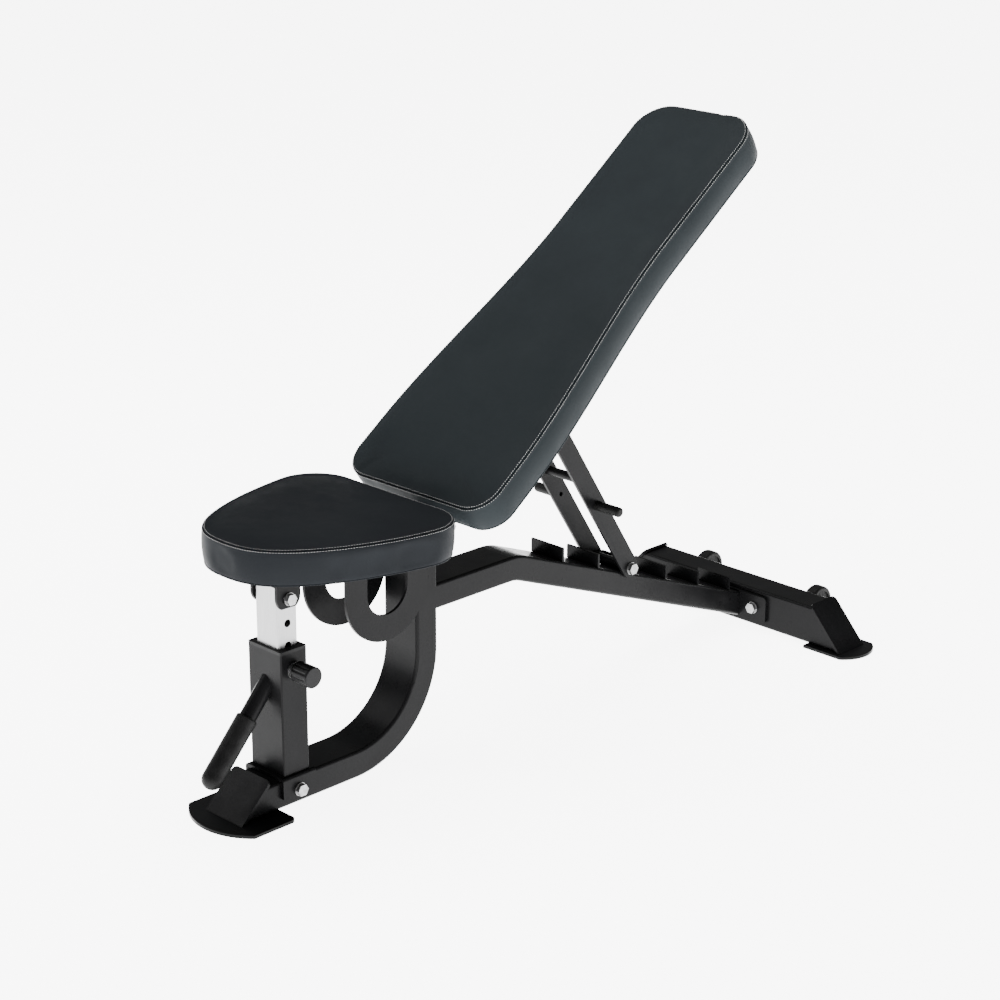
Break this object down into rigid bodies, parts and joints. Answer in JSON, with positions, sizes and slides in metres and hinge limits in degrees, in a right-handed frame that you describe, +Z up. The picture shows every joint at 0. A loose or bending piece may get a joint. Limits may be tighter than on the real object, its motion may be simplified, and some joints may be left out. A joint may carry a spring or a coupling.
{
  "type": "adjustable weight bench",
  "caption": "Adjustable weight bench: padded backrest on a prop strut with a ladder of catches, padded seat tilting on a pinned post, welded steel frame, transport wheels and handle.",
  "frame": {"origin": "centre of the footprint's bounding box, on the floor plane", "axes": "+Z up, +Y towards the head end of the backrest, +X to the bench's right side"},
  "size_m": [0.578, 1.321, 0.9231],
  "materials": {
    "powder_coat": "gloss",
    "silver_post": "satin",
    "zinc_fastener": "satin",
    "upholstery": "satin",
    "plywood": "matte",
    "wheel_rubber": "matte",
    "grip_rubber": "matte",
    "black_plastic": "satin"
  },
  "bodies": {
    "frame": {"main_tube": "powder_coat", "front_cap": "powder_coat", "front_foot": "powder_coat", "spine_tube": "powder_coat", "catch_plate_1": "powder_coat", "catch_plate_2": "powder_coat", "catch_plate_3": "powder_coat", "catch_plate_4": "powder_coat", "catch_plate_5": "powder_coat", "catch_plate_6": "powder_coat", "spine_flange": "powder_coat", "flange_bolts": "zinc_fastener", "stabiliser_tube": "powder_coat", "stabiliser_cap_left": "powder_coat", "stabiliser_cap_right": "powder_coat", "rear_foot_left": "powder_coat", "rear_foot_right": "powder_coat", "wheel_bracket_left": "powder_coat", "wheel_bracket_right": "powder_coat", "wheel_bolts": "zinc_fastener", "hinge_bracket_left": "powder_coat", "hinge_bracket_right": "powder_coat", "hinge_bolt": "zinc_fastener", "saddle_bracket": "powder_coat", "saddle_bolt": "zinc_fastener", "post_sleeve": "powder_coat", "sleeve_bushing": "black_plastic", "handle_tube": "powder_coat", "handle_grip": "grip_rubber", "pin_barrel": "zinc_fastener", "seat_pivot_bolt": "zinc_fastener"},
    "left_wheel": {"wheel_left": "wheel_rubber"},
    "right_wheel": {"wheel_right": "wheel_rubber"},
    "locking_pin": {"pull_pin": "zinc_fastener", "pin_knob": "black_plastic"},
    "post": {"seat_post": "silver_post", "ear_bolt": "zinc_fastener"},
    "seat": {"seat_rail_left": "powder_coat", "seat_rail_right": "powder_coat", "seat_mount_plate": "powder_coat", "seat_side_plate_left": "powder_coat", "seat_side_plate_right": "powder_coat", "seat_board": "plywood", "seat_pad": "upholstery", "seat_pad_bolts": "zinc_fastener"},
    "backrest": {"backrest_rail_left": "powder_coat", "backrest_rail_right": "powder_coat", "backrest_hinge_tube": "powder_coat", "backrest_mount_plate": "powder_coat", "backrest_board": "plywood", "backrest_pad": "upholstery", "backrest_pad_bolts": "zinc_fastener", "strut_pivot_bolt": "zinc_fastener"},
    "strut": {"strut_bar_left": "powder_coat", "strut_bar_right": "powder_coat", "strut_brace": "powder_coat", "strut_handle_left": "grip_rubber", "strut_handle_right": "grip_rubber", "strut_foot_roller": "powder_coat", "strut_foot_bolt": "zinc_fastener"}
  },
  "joints": [
    {"name": "left_wheel_spin", "type": "hinge", "parent": "frame", "child": "left_wheel", "pos_m": [-0.1265, 0.6295, 0.037], "axis": [1, 0, 0], "continuous": true},
    {"name": "right_wheel_spin", "type": "hinge", "parent": "frame", "child": "right_wheel", "pos_m": [0.1265, 0.6295, 0.037], "axis": [1, 0, 0], "continuous": true},
    {"name": "locking_pin_slide", "type": "slide", "parent": "frame", "child": "locking_pin", "axis": [1, 0, 0], "range_m": [-0.005, 0]},
    {"name": "seat_tilt", "type": "hinge", "parent": "frame", "child": "seat", "pos_m": [0, -0.2415, 0.36], "axis": [-1, 0, 0], "range_deg": [-7.45, 7.45]},
    {"name": "post_slide", "type": "slide", "parent": "frame", "child": "post", "axis": [0, 0, 1], "range_m": [-0.0352, 0.0352]},
    {"name": "backrest_incline", "type": "hinge", "parent": "frame", "child": "backrest", "pos_m": [0, -0.1955, 0.365], "axis": [1, 0, 0], "range_deg": [0, 33]},
    {"name": "strut_swing", "type": "hinge", "parent": "backrest", "child": "strut", "pos_m": [0, 0.0061, 0.5214], "axis": [1, 0, 0], "range_deg": [-33.5, 0.5]}
  ],
  "couplings": [
    {"joint": "post_slide", "follows": "seat_tilt", "m_per_rad": 0.26917},
    {"joint": "strut_swing", "follows": "backrest_incline", "ratio": -1}
  ]
}
